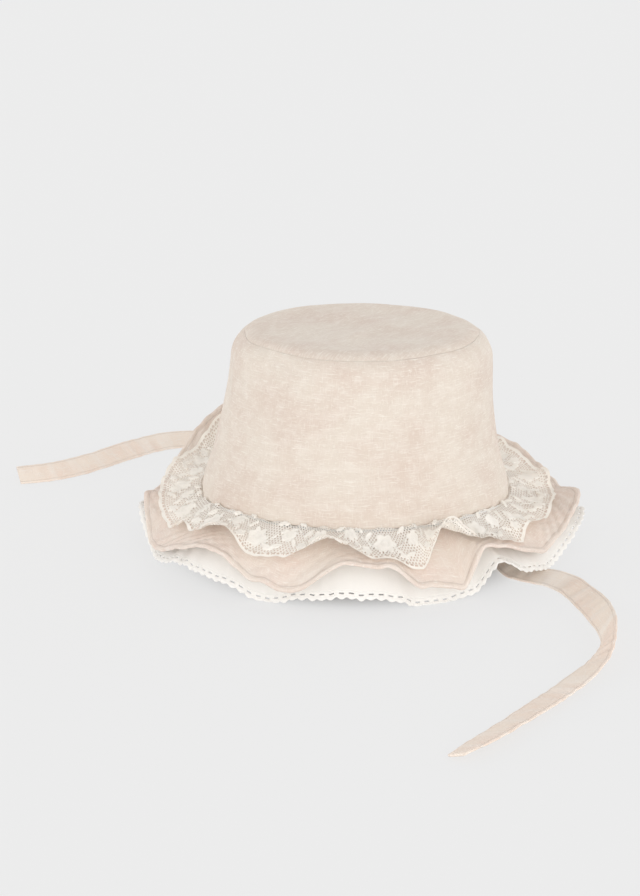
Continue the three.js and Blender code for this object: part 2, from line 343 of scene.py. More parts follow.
def eased(part: Array) -> Array:
    """Smooth step: 3p^2 - 2p^3 of a part clipped to 0..1."""
    part = np.clip(part, 0.0, 1.0)
    return part * part * (3 - 2 * part)


def rising(value: Array, zone: Zone) -> Array:
    """Smooth step from 0 to 1 over a zone, which is its start and its length."""
    return eased((value - zone[0]) / zone[1])


def bell(distance: Array, width: float) -> Array:
    """Bell curve: e to the minus square of the distance over the width."""
    return np.exp(-((distance / width) ** 2))


def upper(first: Array, second: Array, rounding: float) -> Array:
    """Rounded maximum: the mean of the two plus half of sqrt(difference^2 + rounding^2)."""
    return 0.5 * (first + second + np.sqrt((first - second) ** 2 + rounding**2))


def lower(first: Array, second: Array, rounding: float) -> Array:
    """Rounded minimum: the rounded maximum of the negatives, turned back."""
    return -upper(-first, -second, rounding)


@dataclass(frozen=True)
class FoldTable:
    """Crests and troughs around the hat, a row each, in order of azimuth, with named columns.

    Reach is how far the edge is from the crown's axis, and height is that of the edge there.
    """

    columns: str
    rows: tuple[tuple[float, ...], ...]

    def column(self, name: str, azimuth: Array) -> Array:
        """Value of a column, eased from each row to the next, closed around the hat.

        Args:
            name: of the column.
            azimuth: any azimuths in degrees.

        Returns:
            The values, in the shape of azimuth.
        """
        index = self.columns.split().index(name)
        rows = np.array(self.rows, float)
        edges = np.append(rows[:, 0] - rows[0, 0], 360.0)
        values = np.append(rows[:, index], rows[0, index])
        turn = np.mod(azimuth - rows[0, 0], 360.0)
        place = np.clip(np.searchsorted(edges, turn, side="right") - 1, 0, len(rows) - 1)
        part = eased((turn - edges[place]) / (edges[place + 1] - edges[place]))
        return values[place] + (values[place + 1] - values[place]) * part


def curve_through(knots: Array, part: Array, power: float = 0.5) -> Array:
    """Catmull-Rom curve: each stretch is a cubic that leaves a knot along its two neighbours.

    Args:
        knots: the points, one row each.
        part: where along the knots, from 0 to 1, with equal shares for each stretch.
        power: of the chord length in the knot spacing; 0.5 keeps tight turns round.

    Returns:
        One point for each part.
    """
    whole = np.vstack([2 * knots[:1] - knots[1:2], knots, 2 * knots[-1:] - knots[-2:-1]])
    spacing = np.linalg.norm(np.diff(whole, axis=0), axis=1) ** power
    last = len(knots) - 2
    at = np.clip((part * (last + 1)).astype(int), 0, last)
    t = (part * (last + 1) - at)[:, None]
    p0, p1, p2, p3 = (whole[at + k] for k in range(4))
    d0, d1, d2 = (spacing[at + k][:, None] for k in range(3))
    leave = d1 * ((p1 - p0) / d0 - (p2 - p0) / (d0 + d1) + (p2 - p1) / d1)
    arrive = d1 * ((p2 - p1) / d1 - (p3 - p1) / (d1 + d2) + (p3 - p2) / d2)
    square = -3 * p1 + 3 * p2 - 2 * leave - arrive
    cube = 2 * p1 - 2 * p2 + leave + arrive
    return p1 + t * (leave + t * (square + t * cube))


def polar(radius: Array, azimuth: Array, height: Array) -> Array:
    """Points at a radius, azimuth and height about the crown's axis."""
    angle = np.radians(azimuth)
    return np.stack(np.broadcast_arrays(radius * np.sin(angle), -radius * np.cos(angle), height), -1)


def cloth_normals(points: Array) -> Array:
    """Unit normals of a grid of points whose columns run round and meet.

    Args:
        points: rows by columns by 3.

    Returns:
        The cross product of the step along the columns and the step along the rows, unit length.
    """
    along = np.roll(points, -1, axis=1) - np.roll(points, 1, axis=1)
    normal = np.cross(along, np.gradient(points, axis=0))
    return normal / np.linalg.norm(normal, axis=-1, keepdims=True)


def running_length(points: Array) -> Array:
    """Length along a row of points, starting at 0."""
    steps = np.linalg.norm(np.diff(points, axis=0), axis=1)
    return np.concatenate([[0.0], np.cumsum(steps)])


@dataclass(frozen=True)
class Ripples:
    """Uneven ripples around the hat, from -height to height.

    They are a sine whose phase wanders with two slower sines. Twist turns the pattern by some
    degrees for each millimetre outward.
    """

    height: float
    waves: int
    seed: float
    twist: float = 0.0

    def at(self, azimuth: Array, radius: Array | float = 0.0) -> Array:
        """Height of the ripples.

        Args:
            azimuth: degrees.
            radius: distance from the axis.

        Returns:
            Heights, in the common shape of both.
        """
        a = np.radians(azimuth + self.twist * radius)
        wander = 1.3 * np.sin(5 * a + self.seed) + 0.8 * np.sin(11 * a + 2.1 * self.seed)
        swell = 0.75 + 0.25 * np.sin(7 * a + 3 * self.seed)
        return self.height * (np.sin(self.waves * a + wander + self.seed) * swell)


# Meshes


def place_object(name: str, data: bpy.types.ID) -> Object:
    """Makes an object and links it into the scene.

    Args:
        name: of the object.
        data: its mesh, camera or light.

    Returns:
        The new object.
    """
    thing = bpy.data.objects.new(name, data)
    bpy.context.scene.collection.objects.link(thing)
    return thing


@dataclass
class Skin:
    """Points and faces of one piece, with the cloth coordinates of every face corner.

    The last flat_faces faces are shaded flat, so that a cut edge stays crisp.
    """

    points: Array
    faces: list[list[int]]
    corners: Array
    flat_faces: int = 0

    def to_object(self, name: str, material: Material, node: str, replaces: bool = True) -> Object:
        """Makes the Blender object with its UV map "cloth", riding on the hat's body.

        Args:
            name: of the piece.
            material: its only material.
            node: the solid that is hidden when the piece replaces it.
            replaces: whether the piece stands in for the solid.

        Returns:
            The new object, at the origin of the frame.
        """
        mesh = bpy.data.meshes.new(name)
        mesh.from_pydata(((self.points + CROWN_AXIS) * METRES).tolist(), [], self.faces)
        smooth = np.arange(len(self.faces)) < len(self.faces) - self.flat_faces
        mesh.polygons.foreach_set("use_smooth", smooth)
        layer = mesh.uv_layers.new(name="cloth")
        layer.data.foreach_set("uv", (self.corners * METRES).astype(np.float32).ravel())
        mesh.materials.append(material)
        mesh.update()
        thing = place_object(name, mesh)
        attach(thing, BODY)
        if replaces:
            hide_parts(node)
        return thing


Cells = tuple[Array, Array]


def cell_corners(rows: int, columns: int, keep: Array | None = None) -> Cells:
    """Rows and columns of the four corners of each cell of a grid that runs round.

    Args:
        rows: of points.
        columns: of points. The last cells' far corners count as one column more.
        keep: which cells count, rows - 1 by columns; None keeps all.

    Returns:
        The rows and the columns, four for each cell.
    """
    chosen = slice(None) if keep is None else keep.ravel()
    r, c = (grid.ravel()[:, None] for grid in np.mgrid[: rows - 1, :columns])
    return (r + np.array([[0, 0, 1, 1]]))[chosen], (c + np.array([[0, 1, 1, 0]]))[chosen]


def closed_shell(
    front: Array,
    back: Array,
    along: Array,
    across: Array,
    keep: Array | None = None,
) -> Skin:
    """Wall between two grids that run round the hat, closed at both rims and round any holes.

    Every kept cell gives a face in front and a turned one behind. An edge that only one front face
    uses is open, and a wall face joins it to its copy behind.

    Args:
        front: rows by columns by 3, the side that faces along the grid's normals.
        back: the same grid on the other side.
        along: cloth coordinate of each column, with one more at the end for the way back to 0.
        across: rows by columns, the other cloth coordinate.
        keep: cells that are cloth, rows - 1 by columns; None keeps all.

    Returns:
        The closed skin.
    """
    rows, columns = front.shape[:2]
    count = rows * columns
    r, c = cell_corners(rows, columns, keep)
    quads = r * columns + c % columns
    spots = np.stack([along[c], across[r, c % columns]], -1)
    starts, ends = quads.ravel(), np.roll(quads, -1, axis=1).ravel()
    is_open = ~np.isin(starts * count + ends, ends * count + starts)
    starts, ends = starts[is_open], ends[is_open]
    from_spot = spots.reshape(-1, 2)[is_open]
    to_spot = np.roll(spots, -1, axis=1).reshape(-1, 2)[is_open]
    walls = np.stack([ends, starts, starts + count, ends + count], 1)
    wall_spots = np.stack([to_spot, from_spot, from_spot, to_spot], 1)
    faces = np.concatenate([quads, quads[:, ::-1] + count, walls])
    corners = np.concatenate([spots, spots[:, ::-1], wall_spots])
    points = np.concatenate([front.reshape(-1, 3), back.reshape(-1, 3)])
    return Skin(points, faces.tolist(), corners, flat_faces=len(walls))


def sides_of(middle: Array, half: Array) -> tuple[Array, Array]:
    """The two sides of a cloth, kept on the surface that it lies on.

    Args:
        middle: its middle, rows by columns by 3.
        half: half of its thickness, rows by columns.

    Returns:
        The under side, no lower than the surface, and the upper side, a little above it.
    """
    away = cloth_normals(middle) * half[..., None]
    under, over = middle + away, middle - away
    under[..., 2] = np.maximum(under[..., 2], 0)
    over[..., 2] = np.maximum(over[..., 2], LEAST_THICKNESS)
    return under, over


# Crown


@dataclass(frozen=True)
class Dent:
    """A soft hollow in the cloth, a bell about its middle both around and up the crown.

    Slant is how many degrees its middle moves back for each millimetre up.
    """

    depth: float
    azimuth: float
    height: float
    breadth: float
    tallness: float
    slant: float = 0.0

    def at(self, azimuth: Array, height: Array) -> Array:
        """Depth of the hollow: the product of a bell around and a bell up the crown.

        Args:
            azimuth: degrees.
            height: over the surface.

        Returns:
            Depths, in the common shape of both.
        """
        up = height - self.height
        off = azimuth - self.azimuth + self.slant * up
        return self.depth * bell(off, self.breadth) * bell(up, self.tallness)


@dataclass
class Crown:
    """The linen crown: a side panel sewn to a round tip part of the way up the rolled edge.

    A zone is where something grows with the height, or with the radius for the middle and the tip.
    """

    seam_radius: float = 75.2
    top_height: float = 111.0
    top_radius: float = 62.9
    roll_radius: float = 15.0
    wall: float = 1.4
    tip_sag: float = 1.6
    tip_seam_angle: float = 55.0
    tip_flatness: float = 2.6
    middle_radius: float = 0.4
    groove_depth: float = 0.22
    groove_width: float = 1.6
    lean: float = 2.2
    lean_zone: Zone = (60.0, 40.0)
    seam_zone: Zone = (32.0, 34.0)
    swell: float = 0.7
    swell_zone: Zone = (40.0, 30.0)
    upright: float = 0.35
    upright_zone: Zone = (34.0, 20.0)
    slanted: float = 0.22
    middle_zone: Zone = (0.0, 50.0)
    tip_zone: Zone = (37.9, 14.0)
    grain_turn: float = 58.0
    columns: int = 420
    side_rings: int = 80
    roll_rings: int = 30
    tip_roll_rings: int = 24
    tip_flat_rings: int = 67
    puckers: Ripples = Ripples(1.0, 64, 0.4)
    pucker_share: float = 0.55
    side_share: float = 0.65
    side_turn: float = 8.0
    dip_drop: float = 0.5
    brim_groove_share: float = 0.4
    dents: tuple[Dent, ...] = (Dent(2.2, -38, 103, 16, 7), Dent(0.9, -44, 106, 7, 4, slant=3))
    side_outline: tuple[tuple[float, float], ...] = (
        (75.2, 32.0),
        (73.3, 41.0),
        (69.3, 53.0),
        (66.0, 69.0),
        (64.2, 82.0),
        (62.9, 96.0),
    )

    def roll(self, angle: Array) -> Array:
        """Radius and height on the rolled edge, from 0 degrees (side) to 90 (top).

        It is a quarter circle up to the tip seam. Past the seam the drop from the top is a power of
        the share of the way from the flat top, so that the top stays flat almost up to the seam.

        Args:
            angle: degrees.

        Returns:
            A row of radius and height for each angle.
        """
        turn, seam = np.radians(angle), math.radians(self.tip_seam_angle)
        radius = self.top_radius - self.roll_radius * (1 - np.cos(turn))
        inner_radius = self.top_radius - self.roll_radius
        way = (radius - inner_radius) / (self.roll_radius * math.cos(seam))
        past_seam = (1 - math.sin(seam)) * np.clip(way, 0, 1) ** self.tip_flatness
        share = np.where(angle > self.tip_seam_angle, past_seam, 1 - np.sin(turn))
        return np.stack([radius, self.top_height - self.roll_radius * share], -1)

    def creases(self, azimuth: Array, height: Array) -> Array:
        """How far the cloth stands out from its plain form.

        The sum of a slow swell of three waves round the crown, long shallow upright folds and small
        wrinkles that slant across the side, less the dents in the front left of the roll.

        Args:
            azimuth: degrees.
            height: of the plain form.

        Returns:
            Outward distances.
        """
        a = np.radians(azimuth)
        swell = np.cos(3 * a + math.radians(40)) * rising(height, self.swell_zone)
        upright = np.sin(9 * a + 1.1 * np.sin(height / 21)) * rising(height, self.upright_zone)
        slanted = np.sin(17 * a + height / 7.5 + 1.5 * np.sin(4 * a)) * np.sin(height / 16 + 5 * a)
        out = self.swell * swell + self.upright * upright + self.slanted * slanted
        return out - sum(dent.at(azimuth, height) for dent in self.dents)

    def walls(self, outline: Array, dip: Array) -> tuple[Array, Array]:
        """Outer and inner surface: the outline turned about the axis and creased, leaning a little.

        The seams dip unevenly, and most at the sides. The lowest rings follow the brim seam up and
        down. The flat of the tip has its own relief.

        Args:
            outline: radius and height of each ring.
            dip: inward distance of each ring, for the grooves at the seams.

        Returns:
            Two grids, rings by columns by 3.
        """
        azimuth = np.linspace(-180, 180, self.columns, endpoint=False)[None, :]
        radius, height, dip = outline[:, :1], outline[:, 1:], dip[:, None]
        sideways = np.abs(np.sin(np.radians(azimuth + self.side_turn)))
        puckers = 1 - self.pucker_share * (1 - self.puckers.at(azimuth) ** 2)
        puckers = puckers * (1 - self.side_share * (1 - sideways))
        out = self.creases(azimuth, height) - dip * puckers
        rise = SEAM.column("height", azimuth) - self.seam_zone[0]
        rise = rise * (1 - rising(height, self.seam_zone))
        outer = polar(radius + out * rising(radius, self.middle_zone), azimuth, height + rise)
        outer[..., 2] -= dip * self.dip_drop
        outer[..., 0] += self.lean * rising(height, self.lean_zone)
        outer[..., 2] += self.tip_relief(outer) * (1 - rising(radius, self.tip_zone))
        return outer, outer - cloth_normals(outer) * self.wall

    @staticmethod
    def tip_relief(points: Array) -> Array:
        """Height of the tip's unevenness: crossing waves 32 to 75 long, and one low slanting fold.

        The fold is a bell across a line from the front middle to the back right, fading to both ends.

        Args:
            points: of the tip.

        Returns:
            Heights, one for each point.
        """
        x, y = points[..., 0], points[..., 1]
        waves = 0.5 * np.sin(x / 9 + y / 14) * np.sin(y / 12 - 0.6) + 0.3 * np.sin(x / 6.5 - y / 8)
        across, along = 0.93 * (x - 3) - 0.37 * (y + 7), 0.37 * (x - 3) + 0.93 * (y + 7)
        return waves + 0.9 * bell(across, 3.2) * bell(along, 24)

    def seam_groove(self, distance: Array) -> Array:
        """Depth of the groove at a distance from a seam."""
        return self.groove_depth * bell(distance, self.groove_width)

    def build_side(self, material: Material) -> Object:
        """Makes the side panel: a curve through its outline, then the roll up to the tip seam.

        Args:
            material: of the cloth.

        Returns:
            The piece.
        """
        side = curve_through(np.array(self.side_outline), np.linspace(0, 1, self.side_rings), 0.0)
        roll = self.roll(np.linspace(0, self.tip_seam_angle, self.roll_rings + 1)[1:])
        length = running_length(np.vstack([side, roll]))
        brim_groove = self.brim_groove_share * self.seam_groove(length)
        dip = self.seam_groove(length[-1] - length) + brim_groove
        outer, inner = self.walls(np.vstack([side, roll]), dip)
        along = np.linspace(0, 2 * math.pi * self.seam_radius, self.columns + 1)
        skin = closed_shell(outer, inner, along, np.repeat(length[:, None], self.columns, 1))
        return skin.to_object("crown_side_cloth", material, "crown_side")

    def build_tip(self, material: Material) -> Object:
        """Makes the round tip: the rest of the roll and a disc that sags a little in the middle.

        The disc sags by a parabola. Two caps take the place of the wall round the tiny hole that the
        rings leave. The threads run straight across the plan, which is turned for them.

        Args:
            material: of the cloth.

        Returns:
            The piece.
        """
        roll = self.roll(np.linspace(self.tip_seam_angle, 90, self.tip_roll_rings))
        flat_radius = self.top_radius - self.roll_radius
        radius = np.linspace(flat_radius, self.middle_radius, self.tip_flat_rings + 1)[1:]
        sag = self.tip_sag * (1 - (radius / flat_radius) ** 2)
        outline = np.vstack([roll, np.stack([radius, self.top_height - sag], -1)])
        outer, inner = self.walls(outline, self.seam_groove(running_length(outline)))
        skin = closed_shell(outer, inner, np.zeros(self.columns + 1), np.zeros(outer.shape[:2]))
        count = len(outline) * self.columns
        ring = np.arange(count - self.columns, count)
        caps = [ring.tolist(), (ring + count)[::-1].tolist()]
        skin.faces = [f for f in skin.faces if not self.is_middle_wall(f, ring[0], count)] + caps
        skin.flat_faces += len(caps) - self.columns
        turn = math.radians(self.grain_turn)
        cosine, sine = math.cos(turn), math.sin(turn)
        plan = np.concatenate([outer[..., :2].reshape(-1, 2)] * 2)
        plan = plan @ np.array([[cosine, -sine], [sine, cosine]])
        skin.corners = np.concatenate([plan[np.array(f)] for f in skin.faces])
        return skin.to_object("crown_tip_cloth", material, "crown_tip")

    @staticmethod
    def is_middle_wall(face: list[int], first: int, count: int) -> bool:
        """Whether a face is of the wall round the hole: it joins both sides, past point first."""
        return len({v // count for v in face}) == 2 and all(v % count >= first for v in face)


# Brim


SEAM = FoldTable(
    "azimuth height", ((-150, 35), (-80, 30.2), (-45, 34), (45, 33.8), (80, 30.2), (150, 34.5))
)

LACE_FOLDS = FoldTable(
    "azimuth reach height",
    (
        (-172, 94, 31), (-140, 95, 55), (-117, 95, 35), (-105, 96, 34), (-92, 96.5, 28),
        (-65, 96.5, 21.5), (-58, 96, 29.5), (-53, 96, 26), (-40, 96, 35.5), (-30, 96, 23.5),
        (-20.5, 96, 24.5), (-7, 96, 37), (5, 96, 26.5), (18.5, 96.5, 20), (25.5, 97.5, 43.5),
        (38, 98, 30), (50.5, 98, 18.4), (57, 98, 30), (68, 98, 26), (77, 98, 30),
        (93, 98, 26.5), (102, 97.5, 33.5), (110, 97, 30), (136, 96, 39), (152, 95, 28),
        (170, 96, 41),
    ),
)

LINEN_FOLDS = FoldTable(
    "azimuth reach height",
    (
        (-169, 100, 25), (-143, 106, 51), (-104, 104, 19.5), (-94, 104.5, 24), (-77, 101.5, 7.5),
        (-40, 100, 24), (-28, 100, 14), (-17.5, 100, 10.5), (-2, 100, 25.8), (8, 100, 24.4),
        (19, 100, 13), (30, 99.5, 9.6), (36, 101, 28), (63, 102, 14.5), (89, 110, 29),
        (103, 105.5, 23.5), (137, 106, 35), (156, 100, 22), (176, 103, 37),
    ),
)

COTTON_FOLDS = FoldTable(
    "azimuth reach height",
    (
        (-163, 93, -2), (-142, 101, 22), (-119, 97, -2), (-93, 107.5, 19), (-75, 100.5, 1.5),
        (-56, 97, 8), (-40, 96, 6.8), (-27, 89.5, -2), (-17, 90, 3.2), (-4, 90, 5.2),
        (8, 90, 4.6), (13, 90, 2.8), (20, 89, -2), (27, 89.5, -2), (37.5, 90.5, 1),
        (43.5, 99, 17), (54, 101, 7.6), (66, 102, 3.6), (90, 113, 19), (112, 98, -2),
        (134, 104, 17), (155, 94, -2), (176, 100, 14),
    ),
)

LINEN_WRINKLES = (Ripples(0.5, 31, 2.0), Ripples(0.25, 57, 0.7, 1.2), Ripples(0.1, 97, 3.3, -0.8))
COTTON_WRINKLES = (Ripples(0.35, 37, 5.1), Ripples(0.2, 71, 0.9))
LACE_WRINKLES = (Ripples(0.7, 29, 0.3), Ripples(0.35, 61, 2.2, 0.7))
LACE_GATHERS = (Ripples(0.8, 37, 1.3), Ripples(0.25, 83, 4.2))


def together(layers: tuple[Ripples, ...], azimuth: Array, radius: Array) -> Array:
    """Sum of some ripples at an azimuth and a distance from the axis."""
    return sum(layer.at(azimuth, radius) for layer in layers)


@dataclass(frozen=True)
class BrimShape:
    """The common form of the brim's three layers: lace over linen over cotton.

    A zone is where something grows with the distance from the axis.
    """

    start_radius: float = 73.2
    start_slope: float = -0.36
    lace_drop: float = 0.15
    linen_drop: float = 2.45
    cotton_drop: float = 4.05
    clearance: float = 1.35
    rounding: float = 0.8
    floor_height: float = 0.2
    floor_rounding: float = 1.0
    linen_zone: Zone = (80.0, 20.0)
    cotton_zone: Zone = (73.2, 8.0)
    lace_zone: Zone = (73.8, 2.6)
    wrinkle_zone: Zone = (79.0, 12.0)
    gather_height: float = 1.9
    gather_loss: float = 0.8
    gather_loss_zone: Zone = (77.0, 12.0)

    def fold_height(self, folds: FoldTable, drop: float, radius: Array, azimuth: Array) -> Array:
        """Height of a layer by its own table.

        A parabola from the seam, where all layers share one slope, to the edge, where its height is
        the table's; past the edge it goes on straight.

        Args:
            folds: the layer's table.
            drop: of its start below the crown's seam.
            radius: from the axis.
            azimuth: degrees.

        Returns:
            Heights, in the common shape of radius and azimuth.
        """
        start = SEAM.column("height", azimuth) - drop
        length = folds.column("reach", azimuth) - self.start_radius
        fall = folds.column("height", azimuth) - start
        first_fall = self.start_slope * length
        part = (radius - self.start_radius) / length
        inside = start + first_fall * part + (fall - first_fall) * part**2
        edge_slope = np.clip((2 * fall - first_fall) / length, -1, 1)
        return np.where(part <= 1, inside, start + fall + edge_slope * (part - 1) * length)

    def linen(self, radius: Array, azimuth: Array) -> Array:
        """Height of the linen: its folds, with faint wrinkles that grow towards the edge."""
        plain = self.fold_height(LINEN_FOLDS, self.linen_drop, radius, azimuth)
        return plain + rising(radius, self.linen_zone) * together(LINEN_WRINKLES, azimuth, radius)

    def upright_clearance(self, radius: Array, azimuth: Array) -> Array:
        """Height that keeps the clearance square to the linen: times sqrt(1 + both slopes squared).

        Args:
            radius: from the axis.
            azimuth: degrees.

        Returns:
            Heights over or under the linen.
        """
        step = 0.5
        turn = np.degrees(step / radius)
        out = self.linen(radius + step, azimuth) - self.linen(radius - step, azimuth)
        around = self.linen(radius, azimuth + turn) - self.linen(radius, azimuth - turn)
        return self.clearance * np.sqrt(1 + (out**2 + around**2) / (2 * step) ** 2)

    def lace(self, radius: Array, azimuth: Array) -> Array:
        """Height of the lace: its folds and the small gathers below the seam, kept above the linen.

        Args:
            radius: from the axis.
            azimuth: degrees.

        Returns:
            The rounded maximum of its own height and the linen's with the clearance.
        """
        own = self.fold_height(LACE_FOLDS, self.lace_drop, radius, azimuth)
        off_seam = rising(radius, self.lace_zone)
        fading = 1 - self.gather_loss * rising(radius, self.gather_loss_zone)
        gathers = self.gather_height + together(LACE_GATHERS, azimuth, radius)
        wrinkles = rising(radius, self.wrinkle_zone) * together(LACE_WRINKLES, azimuth, radius)
        own = own + off_seam * fading * gathers + wrinkles
        lowest = self.linen(radius, azimuth) + self.upright_clearance(radius, azimuth)
        return upper(own, lowest, self.rounding) - 0.5 * self.rounding * (1 - off_seam)

    def cotton(self, radius: Array, azimuth: Array) -> Array:
        """Height of the cotton: its folds, kept below the linen and on the surface.

        Args:
            radius: from the axis.
            azimuth: degrees.

        Returns:
            The rounded minimum of its own height and the linen's less the clearance, and no lower
            than a little over the surface.
        """
        own = self.fold_height(COTTON_FOLDS, self.cotton_drop, radius, azimuth)
        own = own + rising(radius, self.cotton_zone) * together(COTTON_WRINKLES, azimuth, radius)
        highest = self.linen(radius, azimuth) - self.upright_clearance(radius, azimuth)
        hung = lower(own, highest, self.rounding * 0.5)
        return upper(hung, self.floor_height, self.floor_rounding)


BRIM = BrimShape()


@dataclass
class Ruffle:
    """One gathered layer of the brim, as a wall on a grid that is even along its free edge.

    Stop_short is the length of cloth that another piece takes at the edge. Crowding brings the rows
    closer together near the edge. The other fields from hem on describe the stitched hem.
    """

    name: str
    node: str
    folds: FoldTable
    height: Heights
    thickness: float
    rows: int
    columns: int = 960
    edge_marks: int = 7201
    stop_short: float = 0.0
    crowding: float = 1.5
    edging: tuple[Object, ...] = ()
    hem: float = 0.0
    hem_fullness: float = 0.35
    hem_step: float = 0.6
    stitch_dip: float = 0.4
    stitch_width: float = 0.45
    fold_length: float = 0.7

    def middle(self, radius: Array, azimuth: Array) -> Array:
        """Points in the middle of the cloth."""
        return polar(radius, azimuth, self.height(radius, azimuth))

    def edge_line(self) -> tuple[Array, Array]:
        """Azimuths in small steps round the folded edge, and the length along it up to each one."""
        azimuth = np.linspace(-180, 180, self.edge_marks)
        return azimuth, running_length(self.middle(self.folds.column("reach", azimuth), azimuth))

    def azimuths(self, columns: int) -> tuple[Array, Array]:
        """Azimuths that are evenly spaced along the folded edge.

        Args:
            columns: how many.

        Returns:
            The azimuths, and the length along the edge of each one and of the way back.
        """
        azimuth, length = self.edge_line()
        marks = np.linspace(0, length[-1], columns + 1)
        return np.interp(marks[:-1], length, azimuth), marks

    def edge_radius(self, azimuth: Array, back: Array | float) -> Array:
        """Distance from the axis of the line that lies some way back from the edge along the cloth.

        Args:
            azimuth: degrees.
            back: length of cloth between the line and the edge.

        Returns:
            The edge's own distance less back, shortened by the cloth's slope near the edge.
        """
        reach = self.folds.column("reach", azimuth)
        step = 3.0
        slope = (self.height(reach, azimuth) - self.height(reach - step, azimuth)) / step
        return reach - back / np.sqrt(1 + slope**2)

    def layer(self, azimuth: Array, reach: Array) -> tuple[Array, Array]:
        """The whole layer from the seam out to some reach.

        Args:
            azimuth: of each column.
            reach: distance of its edge from the axis.

        Returns:
            The points in the middle of the cloth, and the length of cloth from the seam to each.
        """
        part = 1 - (1 - np.linspace(0, 1, self.rows)[:, None]) ** self.crowding
        points = self.middle(BRIM.start_radius + (reach - BRIM.start_radius) * part, azimuth)
        steps = np.linalg.norm(np.diff(points, axis=0), axis=-1)
        return points, np.vstack([np.zeros((1, len(azimuth))), np.cumsum(steps, axis=0)])

    def half_thickness(self, to_edge: Array) -> Array:
        """Half of the cloth's thickness.

        The turned hem is a little fuller, dips along a bell where it is stitched and thins towards
        its fold.

        Args:
            to_edge: length of cloth up to the edge.

        Returns:
            Half thicknesses, in the shape of to_edge.
        """
        half = np.full(to_edge.shape, self.thickness / 2)
        if self.hem:
            off_stitches = to_edge - self.hem + self.hem_step
            past = (off_stitches - self.hem_step / 2) / self.hem_step
            half += self.hem_fullness * (1 - eased(past))
            half -= self.stitch_dip * bell(off_stitches, self.stitch_width)
            half *= 0.5 + 0.5 * eased(to_edge / self.fold_length)
        return half

    def build(self, material: Material) -> Object:
        """Makes the layer's wall, a gathered strip of cloth that is cut as long as its folded edge.

        Args:
            material: of the cloth.

        Returns:
            The piece.
        """
        azimuth, along = self.azimuths(self.columns)
        middle, from_seam = self.layer(azimuth, self.edge_radius(azimuth, self.stop_short))
        to_edge = from_seam[-1] - from_seam
        under, over = sides_of(middle, self.half_thickness(to_edge))
        skin = closed_shell(under, over, along, to_edge)
        piece = skin.to_object(self.name, material, self.node)
        return piece


@dataclass(frozen=True)
class Flower:
    """A worked flower: its middle, as shares of the repeat and of the width, and its form."""

    along: float
    across: float
    size: float
    petals: int
    petal_depth: float = 0.34
    heart: float = 0.3
    ring_half: float = 0.05

    def inside(self, u: Array, v: Array) -> Array:
        """Distance inside a rose curve with one swell for each petal; a ring inside it is sunk.

        Args:
            u: distance from its middle along the lace.
            v: distance from its middle across the lace.

        Returns:
            Distances, negative outside.
        """
        distance, angle = np.hypot(u, v), np.arctan2(v, u)
        swell = np.abs(np.cos(self.petals * angle / 2))
        edge = self.size * (1 - self.petal_depth * (1 - swell))
        off_ring = np.abs(distance - self.heart * self.size) - self.ring_half
        return np.minimum(edge - distance, off_ring)


@dataclass(frozen=True)
class Leaf:
    """A worked leaf: its middle, as shares of the repeat and of the width, and its form."""

    along: float
    across: float
    length: float
    breadth: float
    tilt: float

    def inside(self, u: Array, v: Array) -> Array:
        """Distance inside an ellipse: its breadth times the share of the way in from its edge.

        Args:
            u: distance from its middle along the lace.
            v: distance from its middle across the lace.

        Returns:
            Distances, negative outside.
        """
        c, s = math.cos(math.radians(self.tilt)), math.sin(math.radians(self.tilt))
        way = np.hypot((u * c + v * s) / self.length, (v * c - u * s) / self.breadth)
        return (1 - way) * self.breadth


